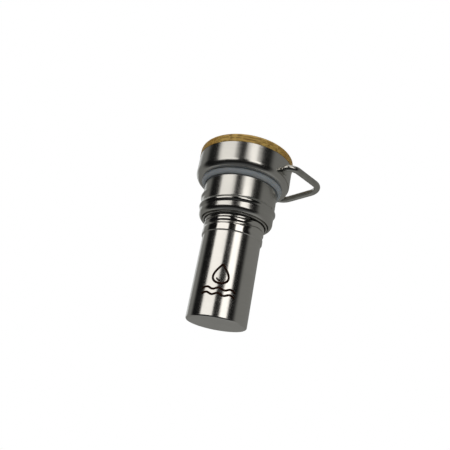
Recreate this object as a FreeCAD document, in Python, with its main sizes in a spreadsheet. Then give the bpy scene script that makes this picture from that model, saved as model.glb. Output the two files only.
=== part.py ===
import FreeCAD, Part
import math
import os
import Sketcher

# Screw-in bottle cap with a bamboo top, a hinged carry loop and a screwed-on cartridge.
# Millimetres, +Z up. The origin is the centre of the cartridge's flat base, the Z axis is the
# common axis of every round piece, and the carry loop points along +X.

SIZES = {
    # levels up the axis
    "seat_z": 80.6,            # underside of the shell, where the gasket lies
    "rim_z": 94.4,             # top edge of the shell's wall
    "top_z": 100.0,             # top of the bamboo disc
    # shell, bamboo disc and the adhesive pad between them
    "shell_r": 27.0,
    "shell_inner_r": 26.4,
    "steel_t": 0.6,            # thickness of the drawn sheet
    "flank_r": 4.4,           # long curve that draws the wall in, with its inner side
    "flank_inner_r": 3.8,
    "flank_z": 84.25,
    "heel_r": 1.4,             # tight curve between the long one and the underside
    "heel_inner_r": 0.8,
    "heel_foot_r": 24.584,
    "heel_top_r": 25.51,
    "heel_top_z": 80.95,
    "heel_top_inner_r": 25.113,
    "heel_top_inner_z": 81.4,
    "neck_hole_r": 21.0,
    "pan_drop": 1.2,           # depth of the pan under the shell's rim
    "pad_t": 0.5,
    "spigot_r": 26.2,
    "disc_r": 27.2,
    "disc_edge_r": 2.2,
    # threaded plug
    "neck_r": 20.8,
    "neck_inner_r": 19.9,
    "flange_r": 24.0,
    "flange_t": 0.7,
    "lip_round_r": 3.5,
    "lip_round_z": 60.7,       # where the neck starts to round into its lip
    "lip_r": 18.6,
    "lip_z": 57.45,
    "web_z": 58.2,             # ring that joins the lip to the socket
    "web_top_z": 59.0,
    "thread_root_r": 20.3,
    "thread_round_r": 2.206,
    "thread_half": 1.7,
    "thread_z": 62.8,
    "thread_pitch": 6.4,
    "thread_rise": 7.1,
    # gasket
    "gasket_r": 23.2,
    "gasket_inner_r": 20.95,
    "gasket_t": 2.8,
    "gasket_bulge_r": 3.2,       # its lower outer side bulges a little
    "gasket_foot_r": 21.7,
    "gasket_edge_t": 0.4,
    # socket that the cartridge screws into
    "socket_r": 18.2,
    "socket_bore_r": 17.4,
    "socket_edge_r": 0.42,
    "socket_edge_z": 56.7,
    "socket_roof_z": 75.65,
    "socket_roof_t": 0.8,
    "screw_pitch": 3.5,
    "nut_root_r": 17.8,
    "nut_round_r": 0.758,
    "nut_half": 0.75,
    "nut_z": 59.25,
    "nut_rise": 7.0,
    # cartridge
    "can_r": 16.2,
    "can_inner_r": 15.6,
    "can_base_t": 0.8,
    "can_corner_r": 1.0,
    "collar_r": 16.5,
    "collar_z": 46.1,
    "collar_top_z": 46.8,
    "can_top_z": 74.0,
    "screw_root_r": 16.1,
    "screw_round_r": 1.028,
    "screw_half": 0.85,
    "screw_z": 47.5,
    "screw_rise": 20.5,
    "lid_inner_r": 15.0,
    "lid_z": 71.7,
    "lid_t": 0.8,
    "fill_hole_r": 2.0,
    "fill_head_r": 3.2,
    "fill_head_t": 0.6,
    "fill_stem_z": 71.1,
    "content_r": 15.3,
    "content_z": 1.0,
    "content_top_z": 70.9,
    "seal_r": 16.4,
    "seal_inner_r": 13.6,
    "seal_t": 1.6,
    # carry loop, measured from its hinge axis
    "wire_r": 1.85,
    "hinge_x": 21.7,
    "hinge_z": 86.75,
    "lift_deg": 3.5,           # how far the loop stands above the horizontal
    "tip_y": 4.6,
    "leg_y": 20.1,
    "pin_bend_r": 2.1,
    "leg_bend_r": 6.9,
    "leg_end_x": 2.6,         # centre of the bend from leg to slope
    "apex_r": 9.1,
    "apex_x": 12.0,           # centre of the apex bend
    # hinge holes and the blind pockets behind them
    "pin_hole_r": 1.9,
    "pocket_r": 2.5,
    "pocket_end_y": 3.6,
    "pocket_floor_y": 4.2,
    "pocket_length": 12.0,
    "pocket_low_z": 83.0,
    "pocket_room": 8.0,
}

doc = FreeCAD.newDocument("bottle_cap")
sheet = doc.addObject("Spreadsheet::Sheet", "sizes")
for row, (alias, number) in enumerate(SIZES.items(), start=1):
    sheet.set("A%d" % row, alias)
    sheet.set("B%d" % row, str(number))
    sheet.setAlias("B%d" % row, alias)
doc.recompute()


# ---- helpers ------------------------------------------------------------------------------

def amount(formula):
    """Number of a formula such as 'rim_z - pan_drop': names and numbers, added or taken off."""
    total = 0.0
    sign = 1.0
    for word in formula.split():
        if word in ("+", "-"):
            sign = 1.0 if word == "+" else -1.0
        else:
            total += sign * (SIZES[word] if word in SIZES else float(word))
    return total


def bound(formula):
    """The same formula as an expression that reads the sheet."""
    return " ".join("sizes." + word if word in SIZES else word for word in formula.split())


def new_sketch(body, name, role="XZ_Plane"):
    sketch = body.newObject("Sketcher::SketchObject", name)
    plane = [item for item in body.Origin.OriginFeatures if item.Role == role][0]
    sketch.AttachmentSupport = [(plane, "")]
    sketch.MapMode = "FlatFace"
    return sketch


def hold(sketch, kind, *where, formula):
    """Adds a dimension to a sketch and binds it to the sheet."""
    index = sketch.addConstraint(Sketcher.Constraint(kind, *where, amount(formula)))
    sketch.setExpression("Constraints[%d]" % index, bound(formula))


def add_arc(sketch, start, end, radius, side):
    """Adds the arc from start to end that bulges to the left (+1) or the right (-1), and
    returns its index and the numbers of its first and last points."""
    chord = end - start
    half = chord.Length / 2
    across = FreeCAD.Vector(-chord.y, chord.x, 0).normalize()
    centre = start + chord / 2 - across * (side * math.sqrt(radius * radius - half * half))
    circle = Part.Circle(centre, FreeCAD.Vector(0, 0, 1), radius)
    first, last = (start, end) if side < 0 else (end, start)
    angles = [math.atan2(point.y - centre.y, point.x - centre.x) for point in (first, last)]
    index = sketch.addGeometry(Part.ArcOfCircle(circle, angles[0], angles[1]), False)
    return (index, 1, 2) if side < 0 else (index, 2, 1)


def trace(sketch, outline, side_of_axis=1):
    """Closed outline through (radius, height) corners. A corner that carries a radius and a
    side starts an arc, and any other starts a straight line."""
    corners = [FreeCAD.Vector(side_of_axis * amount(c[0]), amount(c[1]), 0) for c in outline]
    edges = []
    for index, corner in enumerate(outline):
        start = corners[index]
        end = corners[(index + 1) % len(corners)]
        if len(corner) == 4:
            bulge = side_of_axis * corner[3]
            edge = add_arc(sketch, start, end, amount(corner[2]), bulge)
            hold(sketch, "Radius", edge[0], formula=corner[2])
        else:
            edge = (sketch.addGeometry(Part.LineSegment(start, end), False), 1, 2)
        edges.append(edge)
    for index, edge in enumerate(edges):
        after = edges[(index + 1) % len(edges)]
        sketch.addConstraint(Sketcher.Constraint("Coincident", edge[0], edge[2], after[0], after[1]))
    for edge, corner in zip(edges, outline):
        place_point(sketch, edge, "DistanceX", corner[0], -2, side_of_axis)
        place_point(sketch, edge, "DistanceY", corner[1], -1, 1)


def place_point(sketch, edge, kind, formula, axis, side):
    """Sets one coordinate of an edge's first point; a zero puts the point on the axis."""
    if formula == "0":
        sketch.addConstraint(Sketcher.Constraint("PointOnObject", edge[0], edge[1], axis))
    elif side > 0:
        hold(sketch, kind, edge[0], edge[1], formula=formula)
    else:
        value = -amount(formula)
        index = sketch.addConstraint(Sketcher.Constraint(kind, edge[0], edge[1], value))
        sketch.setExpression("Constraints[%d]" % index, "-(" + bound(formula) + ")")


def turned(name, outline):
    """Body turned from an outline about the Z axis."""
    body = doc.addObject("PartDesign::Body", name)
    sketch = new_sketch(body, name + "_outline")
    trace(sketch, outline)
    turn = body.newObject("PartDesign::Revolution", name + "_turn")
    turn.Profile = sketch
    turn.ReferenceAxis = (sketch, ["V_Axis"])
    turn.Angle = 360
    sketch.Visibility = False
    return body


def wind_ridge(body, name, outline, pitch, rise):
    """Right-handed helical ridge that starts on the -X side of a turned body."""
    sketch = new_sketch(body, name + "_section")
    trace(sketch, outline, side_of_axis=-1)
    ridge = body.newObject("PartDesign::AdditiveHelix", name)
    ridge.Profile = sketch
    ridge.ReferenceAxis = (sketch, ["V_Axis"])
    ridge.Mode = "pitch-height-angle"
    ridge.setExpression("Pitch", bound(pitch))
    ridge.setExpression("Height", bound(rise))
    ridge.LeftHanded = False
    ridge.Reversed = False
    return ridge


def cylinder(name, radius, height, base_z="0"):
    rod = doc.addObject("Part::Cylinder", name)
    rod.setExpression("Radius", bound(radius))
    rod.setExpression("Height", bound(height))
    rod.setExpression("Placement.Base.z", bound(base_z))
    return rod


# ---- cap: shell, bamboo disc and pad --------------------------------------------------------

shell = turned("cap_shell", [
    ("neck_hole_r", "seat_z"),
    ("heel_foot_r", "seat_z", "heel_r", -1),
    ("heel_top_r", "heel_top_z", "flank_r", -1),
    ("shell_r", "flank_z"),
    ("shell_r", "rim_z"),
    ("shell_inner_r", "rim_z"),
    ("shell_inner_r", "rim_z - pan_drop"),
    ("0", "rim_z - pan_drop"),
    ("0", "rim_z - pan_drop - steel_t"),
    ("shell_inner_r", "rim_z - pan_drop - steel_t"),
    ("shell_inner_r", "flank_z", "flank_inner_r", 1),
    ("heel_top_inner_r", "heel_top_inner_z", "heel_inner_r", 1),
    ("heel_foot_r", "seat_z + steel_t"),
    ("neck_hole_r", "seat_z + steel_t"),
])

# The loop's two pins enter the wall along one line, so one pocket cuts both holes.
hole_sketch = new_sketch(shell, "pin_hole_circle")
hole_at = FreeCAD.Vector(amount("hinge_x"), amount("hinge_z"), 0)
hole_circle = Part.Circle(hole_at, FreeCAD.Vector(0, 0, 1), amount("pin_hole_r"))
hole_index = hole_sketch.addGeometry(hole_circle, False)
hold(hole_sketch, "Radius", hole_index, formula="pin_hole_r")
hold(hole_sketch, "DistanceX", hole_index, 3, formula="hinge_x")
hold(hole_sketch, "DistanceY", hole_index, 3, formula="hinge_z")
pin_holes = shell.newObject("PartDesign::Pocket", "pin_holes")
pin_holes.Profile = hole_sketch
pin_holes.Type = "ThroughAll"
pin_holes.Midplane = True

turned("bamboo_disc", [
    ("0", "rim_z - pan_drop + pad_t"),
    ("spigot_r", "rim_z - pan_drop + pad_t"),
    ("spigot_r", "rim_z"),
    ("disc_r", "rim_z"),
    ("disc_r", "top_z - disc_edge_r", "disc_edge_r", -1),
    ("disc_r - disc_edge_r", "top_z"),
    ("0", "top_z"),
])

cylinder("bonding_pad", "spigot_r", "pad_t", "rim_z - pan_drop")

# ---- cap: plug, gasket and socket -----------------------------------------------------------

plug = turned("threaded_plug", [
    ("lip_r", "lip_z", "lip_round_r", -1),
    ("neck_r", "lip_round_z"),
    ("neck_r", "seat_z + steel_t"),
    ("flange_r", "seat_z + steel_t"),
    ("flange_r", "seat_z + steel_t + flange_t"),
    ("neck_inner_r", "seat_z + steel_t + flange_t"),
    ("neck_inner_r", "lip_round_z"),
    ("neck_inner_r - 0.8", "web_top_z"),
    ("socket_r", "web_top_z"),
    ("socket_r", "web_z"),
    ("lip_r", "web_z"),
])
wind_ridge(plug, "bottle_thread", [
    ("thread_root_r", "thread_z - thread_half"),
    ("neck_r", "thread_z - thread_half", "thread_round_r", -1),
    ("neck_r", "thread_z + thread_half"),
    ("thread_root_r", "thread_z + thread_half"),
], "thread_pitch", "thread_rise")

turned("gasket", [
    ("gasket_inner_r", "seat_z - gasket_t"),
    ("gasket_foot_r", "seat_z - gasket_t", "gasket_bulge_r", -1),
    ("gasket_r", "seat_z - gasket_edge_t"),
    ("gasket_r", "seat_z"),
    ("gasket_inner_r", "seat_z"),
])

socket = turned("cartridge_socket", [
    ("socket_bore_r", "socket_edge_z", "socket_edge_r", -1),
    ("socket_r", "socket_edge_z"),
    ("socket_r", "socket_roof_z + socket_roof_t"),
    ("0", "socket_roof_z + socket_roof_t"),
    ("0", "socket_roof_z"),
    ("socket_bore_r", "socket_roof_z"),
])
wind_ridge(socket, "nut_thread", [
    ("nut_root_r", "nut_z - nut_half"),
    ("nut_root_r", "nut_z + nut_half"),
    ("socket_bore_r", "nut_z + nut_half", "nut_round_r", -1),
    ("socket_bore_r", "nut_z - nut_half"),
], "screw_pitch", "nut_rise")

# ---- cap: blind pockets behind the two pin holes --------------------------------------------

for end, side in (("front", -1), ("back", 1)):
    turn_out = FreeCAD.Rotation(FreeCAD.Vector(1, 0, 0), -90 * side)
    tube = cylinder("pocket_tube_" + end, "pocket_r", "pocket_length")
    bore = cylinder("pocket_bore_" + end, "pin_hole_r", "pocket_length")
    for rod, start_y in ((tube, "pocket_end_y"), (bore, "pocket_floor_y")):
        rod.Placement.Rotation = turn_out
        rod.setExpression("Placement.Base.x", "sizes.hinge_x")
        rod.setExpression("Placement.Base.y", "%d * sizes.%s" % (side, start_y))
        rod.setExpression("Placement.Base.z", "sizes.hinge_z")
    blind = doc.addObject("Part::Cut", "pocket_blind_" + end)
    blind.Base = tube
    blind.Tool = bore
    room = cylinder("pocket_room_" + end, "shell_inner_r", "pocket_room", "pocket_low_z")
    pocket = doc.addObject("Part::Common", "pin_pocket_" + end)
    pocket.Base = blind
    pocket.Tool = room

# ---- cartridge ------------------------------------------------------------------------------

can = turned("cartridge_can", [
    ("0", "0"),
    ("can_r - can_corner_r", "0", "can_corner_r", -1),
    ("can_r", "can_corner_r"),
    ("can_r", "collar_z"),
    ("collar_r", "collar_top_z"),
    ("collar_r", "can_top_z"),
    ("can_inner_r", "can_top_z"),
    ("can_inner_r", "can_corner_r"),
    ("can_inner_r - can_corner_r + can_base_t", "can_base_t"),
    ("0", "can_base_t"),
])
wind_ridge(can, "cartridge_thread", [
    ("screw_root_r", "screw_z - screw_half"),
    ("collar_r", "screw_z - screw_half", "screw_round_r", -1),
    ("collar_r", "screw_z + screw_half"),
    ("screw_root_r", "screw_z + screw_half"),
], "screw_pitch", "screw_rise")

turned("cartridge_lid", [
    ("fill_hole_r", "lid_z"),
    ("can_inner_r", "lid_z"),
    ("can_inner_r", "can_top_z"),
    ("lid_inner_r", "can_top_z"),
    ("lid_inner_r", "lid_z + lid_t"),
    ("fill_hole_r", "lid_z + lid_t"),
])

turned("fill_plug", [
    ("0", "fill_stem_z"),
    ("fill_hole_r", "fill_stem_z"),
    ("fill_hole_r", "lid_z + lid_t"),
    ("fill_head_r", "lid_z + lid_t"),
    ("fill_head_r", "lid_z + lid_t + fill_head_t"),
    ("0", "lid_z + lid_t + fill_head_t"),
])

turned("sealed_content", [
    ("0", "content_z"),
    ("content_r - can_corner_r", "content_z", "can_corner_r", -1),
    ("content_r", "content_z + can_corner_r"),
    ("content_r", "content_top_z"),
    ("0", "content_top_z"),
])

turned("cartridge_seal", [
    ("seal_inner_r", "can_top_z"),
    ("seal_r", "can_top_z"),
    ("seal_r", "can_top_z + seal_t"),
    ("seal_inner_r", "can_top_z + seal_t"),
])

# ---- carry loop -----------------------------------------------------------------------------

def loop_path(sketch):
    """Open path of the bent wire in the loop's own plane: hinge axis on x = 0, apex on +x.
    Each half is a pin, a bend, a leg, a second bend and a slope, and one apex bend joins them."""
    leg_y = amount("leg_y")
    pin_bend = amount("pin_bend_r")
    leg_bend = amount("leg_bend_r")
    apex_r = amount("apex_r")
    apex_x = amount("apex_x")
    leg_end = amount("leg_end_x")
    normal = FreeCAD.Vector(0, 0, 1)
    # The slope is the common tangent of the leg's bend and the apex bend.
    between = FreeCAD.Vector(apex_x - leg_end, leg_y - leg_bend, 0)
    slope = math.atan2(between.y, between.x) - math.asin((apex_r - leg_bend) / between.Length)

    def arc(x, y, radius, first, last):
        circle = Part.Circle(FreeCAD.Vector(x, y, 0), normal, radius)
        return sketch.addGeometry(Part.ArcOfCircle(circle, first, last), False)

    def line(x1, y1, x2, y2):
        ends = FreeCAD.Vector(x1, y1, 0), FreeCAD.Vector(x2, y2, 0)
        return sketch.addGeometry(Part.LineSegment(*ends), False)

    quarter = math.pi / 2
    bend_end_x = leg_end + leg_bend * math.sin(slope)
    bend_end_y = leg_y - leg_bend * (1 - math.cos(slope))
    slope_end_x = apex_x + apex_r * math.sin(slope)
    slope_end_y = apex_r * math.cos(slope)
    front_pin = line(0, -amount("tip_y"), 0, -leg_y + pin_bend)
    front_turn = arc(pin_bend, -leg_y + pin_bend, pin_bend, -math.pi, -quarter)
    front_leg = line(pin_bend, -leg_y, leg_end, -leg_y)
    front_bend = arc(leg_end, -leg_y + leg_bend, leg_bend, -quarter, -quarter + slope)
    front_slope = line(bend_end_x, -bend_end_y, slope_end_x, -slope_end_y)
    apex = arc(apex_x, 0, apex_r, -quarter + slope, quarter - slope)
    back_slope = line(slope_end_x, slope_end_y, bend_end_x, bend_end_y)
    back_bend = arc(leg_end, leg_y - leg_bend, leg_bend, quarter - slope, quarter)
    back_leg = line(leg_end, leg_y, pin_bend, leg_y)
    back_turn = arc(pin_bend, leg_y - pin_bend, pin_bend, quarter, math.pi)
    back_pin = line(0, leg_y - pin_bend, 0, amount("tip_y"))
    chain = [front_pin, front_turn, front_leg, front_bend, front_slope, apex,
             back_slope, back_bend, back_leg, back_turn, back_pin]
    for before, after in zip(chain, chain[1:]):
        sketch.addConstraint(Sketcher.Constraint("Tangent", before, 2, after, 1))
    for pin, leg, bend, side in ((front_pin, front_leg, front_bend, -1),
                                 (back_pin, back_leg, back_bend, 1)):
        tip = 1 if side < 0 else 2
        sign = "-" if side < 0 else ""
        sketch.addConstraint(Sketcher.Constraint("Vertical", pin))
        sketch.addConstraint(Sketcher.Constraint("PointOnObject", pin, tip, -2))
        for kind, edge, point, name in (("DistanceY", pin, tip, "tip_y"),
                                        ("DistanceY", leg, tip, "leg_y")):
            value = side * amount(name)
            index = sketch.addConstraint(Sketcher.Constraint(kind, edge, point, value))
            sketch.setExpression("Constraints[%d]" % index, sign + bound(name))
        hold(sketch, "Radius", bend, formula="leg_bend_r")
    hold(sketch, "Radius", front_turn, formula="pin_bend_r")
    hold(sketch, "Radius", back_turn, formula="pin_bend_r")
    hold(sketch, "Radius", apex, formula="apex_r")
    hold(sketch, "DistanceX", apex, 3, formula="apex_x")
    sketch.addConstraint(Sketcher.Constraint("PointOnObject", apex, 3, -1))
    for bend in (front_bend, back_bend):
        hold(sketch, "DistanceX", bend, 3, formula="leg_end_x")


loop = doc.addObject("PartDesign::Body", "carry_loop")
path = new_sketch(loop, "wire_path", role="XY_Plane")
loop_path(path)
section = new_sketch(loop, "wire_section")
section.setExpression("AttachmentOffset.Base.z", "sizes.tip_y")
wire_circle = Part.Circle(FreeCAD.Vector(0, 0, 0), FreeCAD.Vector(0, 0, 1), amount("wire_r"))
wire_index = section.addGeometry(wire_circle, False)
hold(section, "Radius", wire_index, formula="wire_r")
section.addConstraint(Sketcher.Constraint("Coincident", wire_index, 3, -1, 1))
wire = loop.newObject("PartDesign::AdditivePipe", "bent_wire")
wire.Profile = section
wire.Spine = (path, ["Edge%d" % number for number in range(1, 12)])
loop.setExpression("Placement.Base.x", "sizes.hinge_x")
loop.setExpression("Placement.Base.z", "sizes.hinge_z")
loop.Placement.Rotation = FreeCAD.Rotation(FreeCAD.Vector(0, -1, 0), amount("lift_deg"))
loop.setExpression("Placement.Rotation.Angle", "sizes.lift_deg")

# ---- check and write ------------------------------------------------------------------------

NODES = ["cap_shell", "bamboo_disc", "bonding_pad", "threaded_plug", "gasket",
         "cartridge_socket", "pin_pocket_front", "pin_pocket_back", "carry_loop",
         "cartridge_can", "cartridge_lid", "fill_plug", "sealed_content", "cartridge_seal"]

doc.recompute()
for item in doc.Objects:
    if "Invalid" in item.State or "Error" in item.State:
        raise RuntimeError("%s did not compute: %s" % (item.Name, item.State))

os.makedirs("parts", exist_ok=True)
for node in NODES:
    shape = doc.getObject(node).Shape
    if shape.isNull() or not shape.isValid() or len(shape.Solids) != 1:
        raise RuntimeError("%s is not one valid solid" % node)
    shape.exportStep("parts/%s.step" % node)
    box = shape.BoundBox
    print("%-18s %9.1f mm3  x %.2f %.2f  y %.2f %.2f  z %.2f %.2f" % (
        node, shape.Volume, box.XMin, box.XMax, box.YMin, box.YMax, box.ZMin, box.ZMax))
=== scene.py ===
import math

import bmesh
import bpy
from mathutils import Euler, Matrix, Vector


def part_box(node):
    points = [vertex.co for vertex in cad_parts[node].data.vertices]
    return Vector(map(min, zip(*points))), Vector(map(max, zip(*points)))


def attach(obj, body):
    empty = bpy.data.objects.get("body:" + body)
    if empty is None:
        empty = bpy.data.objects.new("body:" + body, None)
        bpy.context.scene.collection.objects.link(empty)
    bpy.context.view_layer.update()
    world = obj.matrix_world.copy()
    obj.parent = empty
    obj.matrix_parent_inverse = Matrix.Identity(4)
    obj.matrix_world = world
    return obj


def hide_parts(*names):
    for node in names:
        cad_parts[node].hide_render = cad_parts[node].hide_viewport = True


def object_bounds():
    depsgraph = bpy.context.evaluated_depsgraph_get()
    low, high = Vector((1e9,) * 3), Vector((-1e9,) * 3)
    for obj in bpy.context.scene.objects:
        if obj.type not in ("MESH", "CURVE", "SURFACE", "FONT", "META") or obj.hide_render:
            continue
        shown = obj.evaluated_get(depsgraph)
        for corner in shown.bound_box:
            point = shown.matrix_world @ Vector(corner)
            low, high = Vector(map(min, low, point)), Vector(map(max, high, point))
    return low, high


# Looks of a screw-in steel bottle cap with a bamboo top, a wire carry loop and a screwed-on
# cartridge. Lengths in the tables are millimetres; every mesh is written in metres.

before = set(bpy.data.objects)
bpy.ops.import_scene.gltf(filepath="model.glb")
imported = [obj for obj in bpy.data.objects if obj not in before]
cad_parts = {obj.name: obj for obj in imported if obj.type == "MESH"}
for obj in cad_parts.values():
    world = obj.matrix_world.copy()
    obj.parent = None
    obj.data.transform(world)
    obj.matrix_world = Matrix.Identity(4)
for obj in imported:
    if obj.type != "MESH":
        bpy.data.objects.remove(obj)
cad_low, cad_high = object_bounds()

MM = 0.001
STEPS = 288                    # points round a turned piece
FRONT = math.radians(-88.7)    # direction of the camera from the cap's axis, from +X

# Levels that follow the frame
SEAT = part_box("gasket")[1].z / MM          # underside of the shell
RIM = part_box("cap_shell")[1].z / MM        # upper edge of the shell
CAN_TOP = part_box("cartridge_can")[1].z / MM
TOP = cad_high.z / MM


# ---- camera ---------------------------------------------------------------------------------

CAMERA_DISTANCE = 0.2680       # from the axis, level
CAMERA_HEIGHT = -0.0522        # the camera looks up from below the base
CAMERA_AIM = 0.0797            # level on the axis that it turns to before the twist
CAMERA_TWIST = Euler((-0.0702, 0.0317, 0.1854), "XYZ")
CAMERA_SENSOR = 36
CAMERA_LENS = 41.38


def make_camera():
    camera = bpy.data.objects.new("camera", bpy.data.cameras.new("camera"))
    bpy.context.scene.collection.objects.link(camera)
    camera.data.sensor_width = CAMERA_SENSOR
    camera.data.lens = CAMERA_LENS
    camera.data.clip_start = 0.01
    eye = Vector((CAMERA_DISTANCE * math.cos(FRONT), CAMERA_DISTANCE * math.sin(FRONT), CAMERA_HEIGHT))
    back = (eye - Vector((0, 0, CAMERA_AIM))).normalized()
    right = Vector((0, 0, 1)).cross(back).normalized()
    facing = Matrix((right, back.cross(right), back)).transposed()
    camera.matrix_world = Matrix.Translation(eye) @ (facing @ CAMERA_TWIST.to_matrix()).to_4x4()
    bpy.context.scene.camera = camera


# ---- shader helpers -------------------------------------------------------------------------

class Tree:
    """Adds nodes to one node tree; an input is a number, a colour or another node's output."""

    def __init__(self, tree):
        self.tree = tree
        self.tree.nodes.clear()

    def add(self, kind, inputs=None, output=0, **settings):
        node = self.tree.nodes.new(kind)
        for name, value in settings.items():
            setattr(node, name, value)
        for key, value in (inputs or {}).items():
            if isinstance(value, bpy.types.NodeSocket):
                self.tree.links.new(value, node.inputs[key])
            else:
                node.inputs[key].default_value = value
        return node.outputs[output]

    def math(self, operation, first, second=0.0):
        return self.add("ShaderNodeMath", {0: first, 1: second}, operation=operation)

    def ramp(self, value, low, high, start=0.0, end=1.0):
        """Smooth step from start at low to end at high."""
        inputs = {"Value": value, "From Min": low, "From Max": high, "To Min": start, "To Max": end}
        return self.add("ShaderNodeMapRange", inputs, interpolation_type="SMOOTHSTEP")

    def mix(self, share, first, second, blend="MIX"):
        """Blend of two colours."""
        node = self.tree.nodes.new("ShaderNodeMix")
        node.data_type = "RGBA"
        node.blend_type = blend
        for index, value in ((0, share), (6, first), (7, second)):
            if isinstance(value, bpy.types.NodeSocket):
                self.tree.links.new(value, node.inputs[index])
            else:
                node.inputs[index].default_value = (*value, 1.0) if index else value
        return node.outputs[2]

    def point(self, scale):
        """Object coordinates times a scale for each axis."""
        place = self.add("ShaderNodeTexCoord", output="Object")
        return self.add("ShaderNodeVectorMath", {0: place, 1: scale}, operation="MULTIPLY")

    def noise(self, vector, scale, detail=3.0, rough=0.5, fourth=None):
        inputs = {"Vector": vector, "Scale": scale, "Detail": detail, "Roughness": rough}
        size = "3D"
        if fourth is not None:
            inputs["W"] = fourth
            size = "4D"
        return self.add("ShaderNodeTexNoise", inputs, noise_dimensions=size, normalize=True)

    def bump(self, height, distance, under=None):
        """Normal of a height field; distance is the full height in metres."""
        inputs = {"Height": height, "Distance": distance, "Strength": 1.0}
        if under is not None:
            inputs["Normal"] = under
        return self.add("ShaderNodeBump", inputs)

    def finish(self, shader):
        output = self.tree.nodes.new("ShaderNodeOutputMaterial")
        self.tree.links.new(shader, output.inputs["Surface"])


def new_material(name):
    material = bpy.data.materials.new(name)
    material.use_nodes = True
    return material, Tree(material.node_tree)


# ---- materials ------------------------------------------------------------------------------

LINE_DEPTH = 0.0000016
HAIR_DEPTH = 0.0000006


def turned_steel(name, tint=(0.62, 0.61, 0.585), rough=0.22, anisotropy=0.4, polish=None):
    """Satin steel with brush lines round the Z axis. polish is a radius in millimetres, from
    which outwards the surface is rubbed brighter, as a thread's crest is."""
    material, tree = new_material(name)
    place = tree.add("ShaderNodeTexCoord", output="Object")
    parts = tree.add("ShaderNodeSeparateXYZ", {"Vector": place})
    x, y, z = parts.node.outputs
    flat = tree.add("ShaderNodeCombineXYZ", {"X": x, "Y": y, "Z": 0.0})
    radius = tree.add("ShaderNodeVectorMath", {0: flat}, output="Value", operation="LENGTH")
    around = tree.add("ShaderNodeVectorMath", {0: flat}, operation="NORMALIZE")
    turn = tree.add("ShaderNodeSeparateXYZ", {"Vector": around})

    def brushed(round_scale, across_scale, detail, grit):
        """Noise drawn out round the axis; the scales count its cells."""
        at = tree.add("ShaderNodeCombineXYZ", {
            "X": tree.math("MULTIPLY", turn.node.outputs["X"], round_scale),
            "Y": tree.math("MULTIPLY", turn.node.outputs["Y"], round_scale),
            "Z": tree.math("MULTIPLY", z, across_scale)})
        outwards = tree.math("MULTIPLY", radius, across_scale)
        return tree.noise(at, 1.0, detail, grit, fourth=outwards)

    lines = brushed(1.6, 3200.0, 4.0, 0.7)
    hairs = brushed(9.0, 9000.0, 2.0, 0.5)
    clouds = tree.noise(place, 90.0, detail=3.0)
    spread = tree.ramp(lines, 0.3, 0.7, rough - 0.02, rough + 0.03)
    spread = tree.math("ADD", spread, tree.ramp(clouds, 0.35, 0.7, -0.015, 0.02))
    if polish is not None:
        rubbed = tree.ramp(radius, polish * MM, (polish + 0.35) * MM, 0.0, 0.09)
        spread = tree.math("SUBTRACT", spread, rubbed)
    shade = tree.mix(tree.ramp(lines, 0.25, 0.75), tuple(0.90 * c for c in tint), tint)
    shade = tree.mix(tree.ramp(clouds, 0.4, 0.75, 0.0, 0.35), shade, tuple(0.93 * c for c in tint))
    normal = tree.bump(lines, LINE_DEPTH)
    normal = tree.bump(hairs, HAIR_DEPTH, under=normal)
    tangent = tree.add("ShaderNodeTangent", direction_type="RADIAL", axis="Z")
    tree.finish(tree.add("ShaderNodeBsdfPrincipled", {
        "Base Color": shade, "Metallic": 1.0, "Roughness": spread, "Anisotropic": anisotropy,
        "Anisotropic Rotation": 0.25, "Tangent": tangent, "Normal": normal}))
    return material


def drawn_wire():
    """Satin wire: faint lines along the wire, with smudges and small handling marks."""
    material, tree = new_material("drawn_wire")
    place = tree.add("ShaderNodeTexCoord", output="Object")
    lines = tree.noise(tree.point((500.0, 500.0, 4000.0)), 1.0, detail=3.0)
    clouds = tree.noise(place, 260.0, detail=4.0)
    nicks = tree.ramp(tree.noise(place, 1500.0, detail=2.0), 0.62, 0.72)
    spread = tree.ramp(lines, 0.3, 0.7, 0.16, 0.24)
    spread = tree.math("ADD", spread, tree.ramp(clouds, 0.3, 0.7, -0.03, 0.05))
    shade = tree.mix(tree.ramp(clouds, 0.3, 0.75), (0.54, 0.535, 0.50), (0.46, 0.455, 0.43))
    normal = tree.bump(lines, 0.000004)
    normal = tree.bump(nicks, 0.000006, under=normal)
    tree.finish(tree.add("ShaderNodeBsdfPrincipled", {
        "Base Color": shade, "Metallic": 1.0, "Roughness": spread, "Normal": normal}))
    return material


def bamboo():
    """Laminated bamboo: strips side by side, long fibres along X, bundle ends as dots where the
    fibres are cut across, and a thin oil finish."""
    material, tree = new_material("bamboo")
    strip = tree.noise(tree.point((0.001, 105.0, 40.0)), 1.0, detail=0.0)
    fibres = tree.noise(tree.point((110.0, 1100.0, 1100.0)), 1.0, detail=4.0, rough=0.65)
    bundles = tree.add("ShaderNodeTexVoronoi", {
        "Vector": tree.point((45.0, 820.0, 820.0)), "Scale": 1.0, "Randomness": 0.9}, feature="F1")
    dots = tree.ramp(bundles, 0.18, 0.42, 1.0, 0.0)
    pale, mid, dark = (1.0, 0.68, 0.19), (0.92, 0.55, 0.12), (0.34, 0.16, 0.03)
    shade = tree.mix(tree.ramp(strip, 0.35, 0.65), mid, pale)
    shade = tree.mix(tree.ramp(fibres, 0.42, 0.62, 0.0, 0.7), shade, dark)
    shade = tree.mix(tree.math("MULTIPLY", dots, 0.7), shade, dark)
    spread = tree.ramp(fibres, 0.3, 0.7, 0.42, 0.58)
    normal = tree.bump(fibres, 0.00012)
    normal = tree.bump(dots, -0.00005, under=normal)
    tree.finish(tree.add("ShaderNodeBsdfPrincipled", {
        "Base Color": shade, "Roughness": spread, "Normal": normal, "Specular IOR Level": 0.25,
        "Coat Weight": 0.05, "Coat Roughness": 0.35}))
    return material


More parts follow.
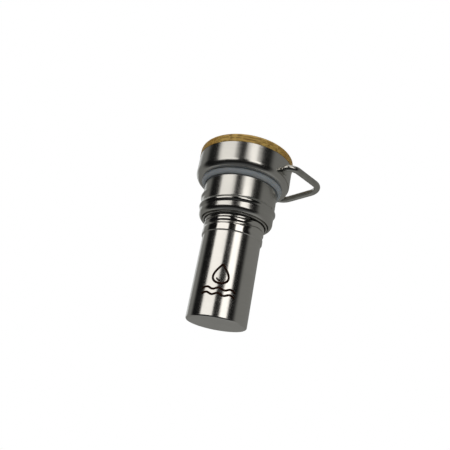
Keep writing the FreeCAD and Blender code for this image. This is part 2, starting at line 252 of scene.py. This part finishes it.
def silicone(name, shade, deep):
    """Soft translucent rubber with faint moulding texture and a little dust."""
    material, tree = new_material(name)
    place = tree.add("ShaderNodeTexCoord", output="Object")
    clouds = tree.noise(place, 220.0, detail=3.0)
    grain = tree.noise(place, 5200.0, detail=2.0)
    colour = tree.mix(tree.ramp(clouds, 0.35, 0.7), shade, deep)
    spread = tree.ramp(clouds, 0.3, 0.7, 0.38, 0.5)
    tree.finish(tree.add("ShaderNodeBsdfPrincipled", {
        "Base Color": colour, "Roughness": spread, "Normal": tree.bump(grain, 0.00002),
        "Subsurface Weight": 0.35, "Subsurface Radius": (0.0012, 0.0014, 0.0016),
        "Subsurface Scale": 1.0, "Sheen Weight": 0.08}))
    return material


def matt(name, shade, deep, rough, shine=0.5):
    """Plain surface, for pieces that stay inside and for the etched mark."""
    material, tree = new_material(name)
    place = tree.add("ShaderNodeTexCoord", output="Object")
    clouds = tree.noise(place, 400.0, detail=4.0)
    colour = tree.mix(tree.ramp(clouds, 0.3, 0.7), shade, deep)
    tree.finish(tree.add("ShaderNodeBsdfPrincipled", {
        "Base Color": colour, "Roughness": tree.ramp(clouds, 0.3, 0.7, rough - 0.08, rough + 0.08),
        "Normal": tree.bump(clouds, 0.00002), "Specular IOR Level": shine}))
    return material


# ---- mesh helpers ---------------------------------------------------------------------------

def arc(centre_r, centre_z, radius, start, end, count=8):
    """Points of an arc in the (radius, height) plane; the angles are degrees from outwards."""
    angles = [math.radians(start + (end - start) * i / count) for i in range(count + 1)]
    return [(centre_r + radius * math.cos(a), centre_z + radius * math.sin(a)) for a in angles]


def run(start, end, spacing=1.5):
    """Points between two ends of a straight stretch, without the ends."""
    count = max(1, round(math.dist(start, end) / spacing))
    return [tuple(a + (b - a) * i / count for a, b in zip(start, end)) for i in range(1, count)]


def wall(*corners, spacing=1.5):
    """Straight stretches through the corners, with points along them."""
    points = [corners[0]]
    for start, end in zip(corners, corners[1:]):
        points += run(start, end, spacing) + [end]
    return points


def new_piece(name, mesh, material, body, replaced=()):
    bmesh.ops.recalc_face_normals(mesh, faces=mesh.faces)
    data = bpy.data.meshes.new(name)
    mesh.to_mesh(data)
    mesh.free()
    data.shade_smooth()
    data.materials.append(material)
    piece = bpy.data.objects.new(name, data)
    bpy.context.scene.collection.objects.link(piece)
    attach(piece, body)
    if replaced:
        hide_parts(*replaced)
    return piece


def even_normals(piece):
    """Shading normals that keep flat stretches flat beside small roundings."""
    weighted = piece.modifiers.new("even_normals", "WEIGHTED_NORMAL")
    weighted.weight = 100
    weighted.keep_sharp = True


def bridge(mesh, first, second):
    """Faces between two rings; a ring of one point is a pole."""
    count = max(len(first), len(second))
    for i in range(count):
        j = (i + 1) % count
        corners = [first[i % len(first)], first[j % len(first)],
                   second[j % len(second)], second[i % len(second)]]
        unique = list(dict.fromkeys(corners))
        mesh.faces.new(unique)


def lathe(name, outline, material, body, replaced, form=None):
    """Closed solid turned from an outline. form moves a point: (angle, r, z) to (r, z)."""
    mesh = bmesh.new()
    rings = []
    for r, z in outline:
        if r < 1e-6:
            rings.append([mesh.verts.new((0, 0, z * MM))])
            continue
        ring = []
        for step in range(STEPS):
            angle = 2 * math.pi * step / STEPS
            at_r, at_z = form(angle, r, z) if form else (r, z)
            flat_r = at_r * MM
            ring.append(mesh.verts.new((flat_r * math.cos(angle), flat_r * math.sin(angle), at_z * MM)))
        rings.append(ring)
    for first, second in zip(rings, rings[1:]):
        bridge(mesh, first, second)
    if len(rings[0]) > 1:
        bridge(mesh, rings[-1], rings[0])
    piece = new_piece(name, mesh, material, body, replaced)
    even_normals(piece)
    return piece


def fade(value, low, high):
    """Smooth step from 0 at low to 1 at high."""
    share = min(max((value - low) / (high - low), 0.0), 1.0)
    return share * share * (3 - 2 * share)


def swell(distance, half_width, flatness):
    """Rounded bump of height 1, whose top is flatter for a larger flatness."""
    share = min(abs(distance) / half_width, 1.0)
    return math.cos(math.pi / 2 * share ** flatness) ** 2


def turn_from_front(angle):
    """Degrees round from the front, -100 to 260, growing towards the loop's side."""
    return (math.degrees(angle - FRONT) + 100) % 360 - 100


# ---- plug with the bottle thread ------------------------------------------------------------

NECK_R = 20.8
NECK_INNER_R = 19.9
FLANGE_R = 23.8                # flange above the shell's floor, which holds the plug
FLANGE_LOW = SEAT + 0.6
FLANGE_HIGH = SEAT + 1.3
LIP_Z = SEAT - 20.8            # where the neck starts to round in
LIP_ROUND = 3.0
LIP_EDGE_R = 18.3
LIP_EDGE_Z = LIP_Z - 1.8
THREAD_HEIGHT = 0.85
THREAD_LEVEL = SEAT - 17.4     # the first stretch runs level, and then the ridge climbs
THREAD_PITCH = 7.4
THREAD_HALF = 1.9


def plug_form(angle, r, z):
    """Adds the rolled ridge to the outer wall."""
    if r < NECK_R - 0.01 or z > SEAT - 2:
        return r, z
    height = 0.0
    for turns in (0, 1):
        degrees = turn_from_front(angle) + 360 * turns
        level = THREAD_LEVEL + THREAD_PITCH * max(0.0, degrees + 30) / 360
        strength = fade(degrees, -100, -80) * (1 - fade(degrees, 276, 305))
        height = max(height, strength * swell(z - level, THREAD_HALF, 1.25))
    return r + THREAD_HEIGHT * height, z


def make_plug(material):
    outline = arc(NECK_R - LIP_ROUND, LIP_Z, LIP_ROUND, -66, 0, 14)
    outline += wall((NECK_R, LIP_Z + 0.3), (NECK_R, FLANGE_LOW - 0.2), spacing=0.3)
    outline += [(FLANGE_R, FLANGE_LOW), (FLANGE_R, FLANGE_HIGH), (NECK_INNER_R, FLANGE_HIGH)]
    outline += wall((NECK_INNER_R, FLANGE_HIGH - 0.3), (NECK_INNER_R, LIP_Z), spacing=3)
    outline += [(NECK_INNER_R - 0.7, LIP_Z - 0.8), (LIP_EDGE_R, LIP_Z - 0.8), (LIP_EDGE_R, LIP_EDGE_Z)]
    lathe("plug_rolled", outline, material, "cap", ["threaded_plug"], form=plug_form)


# ---- cartridge ------------------------------------------------------------------------------

CAN_R = 16.2
CAN_INNER_R = 15.62
CAN_FLOOR = 0.8
CAN_CORNER = 1.0
COLLAR_R = 16.9
COLLAR_Z = SEAT - 33.7         # middle of the collar's lower edge
GROOVE_DEPTH = 0.45
GROOVE_TURN = 3.45
GROOVE_RAMP = 1.75             # part of the climb that falls on a short ramp near the front
GROOVE_START = SEAT - 32.1
NARROWING = 0.43               # the stem is this much slimmer where the socket's thread holds it


def can_form(angle, r, z):
    """Cuts the rolled groove into the collar and everything above it, and slims the held part."""
    if r < CAN_R + 0.4 or z < COLLAR_Z:
        return r, z
    degrees = turn_from_front(angle)
    if degrees < 10:
        degrees += 360
    depth = 0.0
    for turns in range(6):
        ramp = GROOVE_RAMP * fade(degrees, 10, 50)
        slow = (GROOVE_TURN - GROOVE_RAMP) * (degrees - 10) / 360
        level = GROOVE_START + GROOVE_TURN * turns + ramp + slow
        strength = fade(degrees + 360 * turns, 14, 60)
        depth = max(depth, strength * swell(z - level, 1.45, 1.25))
    held = fade(z, SEAT - 24.4, SEAT - 23.2)
    return r - GROOVE_DEPTH * depth - NARROWING * held, z


def make_can(material):
    corner = CAN_CORNER
    outline = [(0, 0)] + wall((0.5, 0), (CAN_R - corner - 0.2, 0), spacing=1.5)
    outline += arc(CAN_R - corner, corner, corner, -90, 0, 10)
    outline += wall((CAN_R, corner + 0.3), (CAN_R, COLLAR_Z - 0.7), spacing=1.2)
    outline += arc(CAN_R + 0.25, COLLAR_Z - 0.35, 0.25, 180, 90, 4)
    outline += arc(COLLAR_R - 0.4, COLLAR_Z + 0.3, 0.4, -90, 0, 6)
    outline += wall((COLLAR_R, COLLAR_Z + 0.8), (COLLAR_R, CAN_TOP - 0.5), spacing=0.22)
    outline += arc(COLLAR_R - 0.3, CAN_TOP - 0.3, 0.3, 0, 90, 4)
    outline += [(CAN_INNER_R + 0.18, CAN_TOP), (CAN_INNER_R, CAN_TOP - 0.2), (CAN_INNER_R, corner)]
    outline += [(CAN_INNER_R - 0.42, CAN_FLOOR), (0, CAN_FLOOR)]
    lathe("cartridge_rolled", outline, material, "cartridge", ["cartridge_can"], form=can_form)


# ---- gasket and bamboo ----------------------------------------------------------------------

GASKET_INNER_R = 20.95
GASKET_OUTER_R = 23.16
GASKET_LOW = SEAT - 2.8
BULGE_R = 3.15
BULGE_CENTRE_R = 20.03
BULGE_CENTRE_Z = SEAT - 0.08
FOOT_ROUND = 0.3               # inner and outer rounding of the foot
FOOT_ROUND_OUT = 0.35
FOOT_CENTRE_R = 21.55


def make_gasket(material):
    """Ring with a narrow foot and a bulging lower side that meets the shell."""
    outline = arc(GASKET_INNER_R + FOOT_ROUND, GASKET_LOW + FOOT_ROUND, FOOT_ROUND, 180, 270, 4)
    outline += arc(FOOT_CENTRE_R, GASKET_LOW + FOOT_ROUND_OUT, FOOT_ROUND_OUT, -88, -50, 3)
    outline += arc(BULGE_CENTRE_R, BULGE_CENTRE_Z, BULGE_R, -52, -6, 12)
    outline += [(GASKET_OUTER_R, SEAT - 0.1), (GASKET_OUTER_R - 0.08, SEAT), (GASKET_INNER_R, SEAT)]
    lathe("gasket_ring", outline, material, "cap", ["gasket"])


DISC_R = 27.18
DISC_EDGE = 2.2
DISC_FOOT = 0.25
SPIGOT_R = 26.2                # the part of the disc that is let into the shell
SPIGOT_Z = RIM - 0.7


def make_bamboo(material):
    """Disc with a softly rounded upper edge, let into the shell."""
    outline = [(0, SPIGOT_Z)] + wall((2, SPIGOT_Z), (SPIGOT_R, SPIGOT_Z), spacing=4)
    outline += [(SPIGOT_R, RIM + 0.02)]
    outline += arc(DISC_R - DISC_FOOT, RIM + 0.02 + DISC_FOOT, DISC_FOOT, -90, 0, 4)
    outline += wall((DISC_R, RIM + 0.5), (DISC_R, TOP - DISC_EDGE - 0.2), spacing=0.4)
    outline += arc(DISC_R - DISC_EDGE, TOP - DISC_EDGE, DISC_EDGE, 0, 90, 12)
    outline += wall((DISC_R - DISC_EDGE - 0.3, TOP), (0.5, TOP - 0.02), spacing=1.5)
    outline += [(0, TOP - 0.02)]
    lathe("bamboo_top", outline, material, "cap", ["bamboo_disc"])


# ---- carry loop -----------------------------------------------------------------------------

WIRE_R = 1.85
WIRE_SIDES = 32
HINGE = Vector((21.7, 0.0, 86.75))
LIFT = math.radians(3.5)       # how far the loop stands above the horizontal
TIP_Y = 4.6                    # end of each pin, from the middle plane
TIP_ROUND = 0.3
LEG_Y = 20.1
PIN_BEND = 2.1                 # radius of the bend from pin to leg
LEG_BEND = 6.9                 # radius of the bend from leg to slope
LEG_END = 2.6                  # where that bend has its centre
APEX_R = 9.1
APEX_X = 11.99


def loop_half():
    """Centre line of one half of the wire, from the pin's tip to the middle of the apex, as
    (x, y) in the loop's plane."""
    between = Vector((APEX_X - LEG_END, LEG_Y - LEG_BEND))
    slope = math.atan2(between.y, between.x) - math.asin((APEX_R - LEG_BEND) / between.length)

    def bend(x, y, radius, start, end, count):
        angles = [start + (end - start) * i / count for i in range(count + 1)]
        return [(x + radius * math.cos(a), y + radius * math.sin(a)) for a in angles]

    quarter = math.pi / 2
    path = wall((0.0, TIP_Y), (0.0, LEG_Y - PIN_BEND - 0.3), spacing=1.0)
    path += bend(PIN_BEND, LEG_Y - PIN_BEND, PIN_BEND, math.pi, quarter, 14)
    path += bend(LEG_END, LEG_Y - LEG_BEND, LEG_BEND, quarter, quarter - slope, 12)
    first = path[-1]
    last = (APEX_X + APEX_R * math.sin(slope), APEX_R * math.cos(slope))
    path += run(first, last, 1.0)
    path += bend(APEX_X, 0.0, APEX_R, quarter - slope, 0.0, 18)
    return path


def make_loop(material):
    half = loop_half()
    path = [Vector((x, y, 0)) for x, y in half]
    path += [Vector((x, -y, 0)) for x, y in reversed(half[:-1])]
    swing = Matrix.Rotation(-LIFT, 3, "Y")
    mesh = bmesh.new()
    rings = []

    def ring(centre, along, radius):
        across = Vector((0, 0, 1)).cross(along).normalized()
        points = []
        for i in range(WIRE_SIDES):
            angle = 2 * math.pi * i / WIRE_SIDES
            offset = across * math.cos(angle) + Vector((0, 0, 1)) * math.sin(angle)
            points.append(mesh.verts.new((HINGE + swing @ (centre + offset * radius)) * MM))
        return points

    def tip(centre, along, outward):
        """Rings of the rounded end, from its pole to the full wire."""
        made = [[mesh.verts.new((HINGE + swing @ centre) * MM)]]
        made.append(ring(centre, along, (WIRE_R - TIP_ROUND) / 2))
        for i in range(6):
            angle = math.pi / 2 * i / 5
            inward = along * outward * TIP_ROUND * (1 - math.cos(angle))
            made.append(ring(centre - inward, along, WIRE_R - TIP_ROUND * (1 - math.sin(angle))))
        return made

    for i, centre in enumerate(path):
        before = path[max(i - 1, 0)]
        after = path[min(i + 1, len(path) - 1)]
        along = (after - before).normalized()
        if i == 0:
            rings += tip(centre, along, -1.0)
        elif i == len(path) - 1:
            rings += list(reversed(tip(centre, along, 1.0)))
        else:
            rings.append(ring(centre, along, WIRE_R))
    for first, second in zip(rings, rings[1:]):
        bridge(mesh, first, second)
    piece = new_piece("loop_wire", mesh, material, "loop", ["carry_loop"])
    even_normals(piece)


# ---- generic pictogram on the cartridge -----------------------------------------------------

MARK_TURN = math.radians(-7)
MARK_Z = 22.8                  # middle of the drop
MARK_STEP = 0.25
MARK_SUNK = -0.02              # the strips reach this far into the wall
MARK_PROUD = 0.03
DROP_WIDE = 5.6
DROP_HALF = 5.1
WAVE_WIDTH = 18.4
WAVE_LEVELS = (-7.9, -10.7)
WAVE_RISE = 0.5
WAVE_CRESTS = 3
DROP_LINE = 1.2                # widths of the lines
GLINT_LINE = 0.9
WAVE_LINE = 1.15


def drop_line():
    """Closed outline of a water drop."""
    points = []
    for i in range(72):
        angle = 2 * math.pi * (i + 0.5) / 72
        wide = math.sin(angle) * abs(math.sin(angle / 2)) ** 1.3
        points.append(Vector((DROP_WIDE * wide, DROP_HALF * math.cos(angle))))
    return points


def glint_line():
    """Short arc inside the drop, like a glint on its side."""
    angles = [math.radians(200 + 70 * i / 14) for i in range(15)]
    return [Vector((2.2 * math.cos(a), -1.5 + 2.3 * math.sin(a))) for a in angles]


def wave_line(level):
    """Wavy line below the drop."""
    count = round(WAVE_WIDTH / MARK_STEP)
    points = []
    for i in range(count + 1):
        along = -WAVE_WIDTH / 2 + WAVE_WIDTH * i / count
        phase = 2 * math.pi * along * WAVE_CRESTS / WAVE_WIDTH
        points.append(Vector((along, level + WAVE_RISE * math.cos(phase))))
    return points


def etch(mesh, points, width, closed):
    """Thin raised strip on the cartridge's wall along a line of (round, up) points."""
    def corner(flat, lift):
        angle = FRONT + MARK_TURN + flat.x / CAN_R
        radius = (CAN_R + lift) * MM
        return mesh.verts.new((radius * math.cos(angle), radius * math.sin(angle), (MARK_Z + flat.y) * MM))

    count = len(points)
    sections = []
    for i, point in enumerate(points):
        before = points[(i - 1) % count] if closed or i else points[i]
        after = points[(i + 1) % count] if closed or i < count - 1 else points[i]
        along = (after - before).normalized()
        side = Vector((-along.y, along.x)) * width / 2
        taper = 1.0
        if not closed:
            taper = min(1.0, 0.25 + 1.6 * min(i, count - 1 - i) * MARK_STEP / width)
        left, right = point + side * taper, point - side * taper
        sections.append([corner(left, MARK_SUNK), corner(left, MARK_PROUD),
                         corner(right, MARK_PROUD), corner(right, MARK_SUNK)])
    pairs = list(zip(sections, sections[1:]))
    if closed:
        pairs.append((sections[-1], sections[0]))
    for first, second in pairs:
        bridge(mesh, first, second)
    if not closed:
        mesh.faces.new(sections[0])
        mesh.faces.new(sections[-1])


def make_mark(material):
    mesh = bmesh.new()
    etch(mesh, drop_line(), DROP_LINE, True)
    etch(mesh, glint_line(), GLINT_LINE, False)
    for level in WAVE_LEVELS:
        etch(mesh, wave_line(level), WAVE_LINE, False)
    new_piece("etched_mark", mesh, material, "cartridge")


# ---- light and floor ------------------------------------------------------------------------

class Sky(Tree):
    """Studio surroundings as soft panels of light, each a window in azimuth and elevation."""

    def __init__(self, tree):
        super().__init__(tree)
        toward = self.add("ShaderNodeTexCoord", output="Generated")
        self.x, self.y, self.z = self.add("ShaderNodeSeparateXYZ", {"Vector": toward}).node.outputs
        self.rise = self.math("DEGREES", self.math("ARCSINE", self.z))
        self.turn = self.math("ARCTAN2", self.y, self.x)
        self.light = None

    def window(self, centre, half_width, blur, lean=0.0):
        """1 within half_width degrees of an azimuth that is counted from the camera's side. The
        window's upper part stands lean degrees further round."""
        shift = self.ramp(self.rise, 26.5, 30, 0.0, math.radians(lean))
        across = self.math("SUBTRACT", self.turn, shift)
        offset = self.math("SUBTRACT", across, FRONT + math.radians(centre))
        apart = self.math("DEGREES", self.math("ARCCOSINE", self.math("COSINE", offset)))
        return self.ramp(apart, half_width - blur, half_width + blur, 1.0, 0.0)

    def band(self, low, high, blur):
        """1 between two elevations."""
        above = self.ramp(self.rise, low - blur, low + blur)
        below = self.ramp(self.rise, high - blur, high + blur, 1.0, 0.0)
        return self.math("MULTIPLY", above, below)

    def panel(self, share, tint, strength):
        """Adds tinted light where share is 1."""
        glow = self.mix(share, (0.0, 0.0, 0.0), tuple(strength * c for c in tint))
        self.light = glow if self.light is None else self.mix(1.0, self.light, glow, "ADD")


WARM = (1.0, 0.975, 0.93)
COOL = (0.96, 0.99, 1.0)
OLIVE = (1.0, 1.0, 0.945)
FRONT_PANELS = ((-43.5, 22.5, 1.35), (19.5, 13.5, 1.75))      # centre, half width, strength
PANEL_LEAN = -10
ROOM = (157, 93)               # centre and half width
ROOM_TOP = 62
LOWER_LIGHT_TOP = -45
OVERHEAD_LOW = 66
BACK_STRIP = (205, 12)         # centre and half width


def make_light():
    scene = bpy.context.scene
    scene.view_settings.view_transform = "Standard"
    world = bpy.data.worlds.new("studio")
    world.use_nodes = True
    scene.world = world
    sky = Sky(world.node_tree)
    sky.panel(sky.band(-95, 95, 1), COOL, 0.006)
    # front panels, brighter towards their lower edge
    for centre, half_width, strength in FRONT_PANELS:
        across = sky.window(centre, half_width, 3, PANEL_LEAN)
        fall = sky.ramp(sky.rise, 27, 33, 1.1, 0.75)
        share = sky.math("MULTIPLY", sky.math("MULTIPLY", across, sky.band(3, 58, 3)), fall)
        sky.panel(share, WARM, strength)
    # grey room behind and at both sides
    room = sky.math("MULTIPLY", sky.window(*ROOM, 9), sky.band(-95, ROOM_TOP, 8))
    sky.panel(room, OLIVE, 0.21)
    sky.panel(sky.band(-95, LOWER_LIGHT_TOP, 12), COOL, 0.10)
    # soft box overhead, and a strip behind the left side
    sky.panel(sky.band(OVERHEAD_LOW, 95, 5), WARM, 0.9)
    strip = sky.math("MULTIPLY", sky.window(*BACK_STRIP, 6), sky.band(0, 50, 8))
    sky.panel(strip, COOL, 0.5)
    seen = sky.add("ShaderNodeLightPath", output="Is Camera Ray")
    shown = sky.mix(seen, sky.light, (1.0, 1.0, 1.0))
    output = sky.tree.nodes.new("ShaderNodeOutputWorld")
    background = sky.add("ShaderNodeBackground", {"Color": shown, "Strength": 1.0})
    sky.tree.links.new(background, output.inputs["Surface"])


FLOOR_SOLID = 0.25             # metres from the axis at which the floor starts to fade
FLOOR_R = 1.0
FLOOR_DROP = 0.0004
FLOOR_GLOW = 0.45


def make_floor():
    """Pale floor under the base. It shows only from above, so the view from below stays open."""
    material, tree = new_material("floor")
    place = tree.add("ShaderNodeTexCoord", output="Object")
    apart = tree.add("ShaderNodeVectorMath", {0: place}, output="Value", operation="LENGTH")
    away = tree.ramp(apart, FLOOR_SOLID, 0.9 * FLOOR_R)
    behind = tree.add("ShaderNodeNewGeometry", output="Backfacing")
    hidden = tree.math("MAXIMUM", away, behind)
    grain = tree.noise(place, 60.0, detail=4.0)
    shade = tree.mix(grain, (0.80, 0.80, 0.79), (0.84, 0.84, 0.83))
    paint = tree.add("ShaderNodeBsdfDiffuse", {"Color": shade})
    glow = tree.add("ShaderNodeEmission", {"Color": (1.0, 1.0, 1.0, 1.0), "Strength": FLOOR_GLOW})
    lit = tree.add("ShaderNodeAddShader", {0: paint, 1: glow})
    clear = tree.add("ShaderNodeBsdfTransparent")
    tree.finish(tree.add("ShaderNodeMixShader", {0: hidden, 1: lit, 2: clear}))
    mesh = bmesh.new()
    bmesh.ops.create_circle(mesh, cap_ends=True, segments=64, radius=FLOOR_R)
    data = bpy.data.meshes.new("floor")
    mesh.to_mesh(data)
    mesh.free()
    data.materials.append(material)
    floor = bpy.data.objects.new("floor", data)
    floor.location.z = -FLOOR_DROP
    bpy.context.scene.collection.objects.link(floor)
    for ray in ("diffuse", "glossy", "transmission", "shadow"):
        setattr(floor, "visible_" + ray, False)


# ---- build ----------------------------------------------------------------------------------

def repaint(node, material):
    """Gives a CAD node its material."""
    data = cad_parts[node].data
    data.materials.clear()
    data.materials.append(material)


make_camera()
make_light()
make_floor()
steel = turned_steel("turned_steel", rough=0.21)
plug_steel = turned_steel("plug_steel", rough=0.20, anisotropy=0.3, polish=21.3)
can_steel = turned_steel("can_steel", tint=(0.72, 0.705, 0.68), rough=0.19, polish=16.6)
make_plug(plug_steel)
make_can(can_steel)
make_gasket(silicone("gasket_silicone", (0.80, 0.87, 0.95), (0.72, 0.79, 0.88)))
make_bamboo(bamboo())
make_loop(drawn_wire())
make_mark(matt("etched_oxide", (0.024, 0.008, 0.004), (0.036, 0.013, 0.006), 0.6, 0.12))
for node in ("cap_shell", "cartridge_socket", "pin_pocket_front", "pin_pocket_back",
             "cartridge_lid", "fill_plug"):
    repaint(node, steel)
repaint("bonding_pad", matt("adhesive", (0.55, 0.54, 0.50), (0.48, 0.47, 0.43), 0.7))
repaint("cartridge_seal", silicone("seal_silicone", (0.62, 0.63, 0.64), (0.55, 0.56, 0.58)))
repaint("sealed_content", matt("content", (0.45, 0.55, 0.60), (0.40, 0.50, 0.56), 0.3))
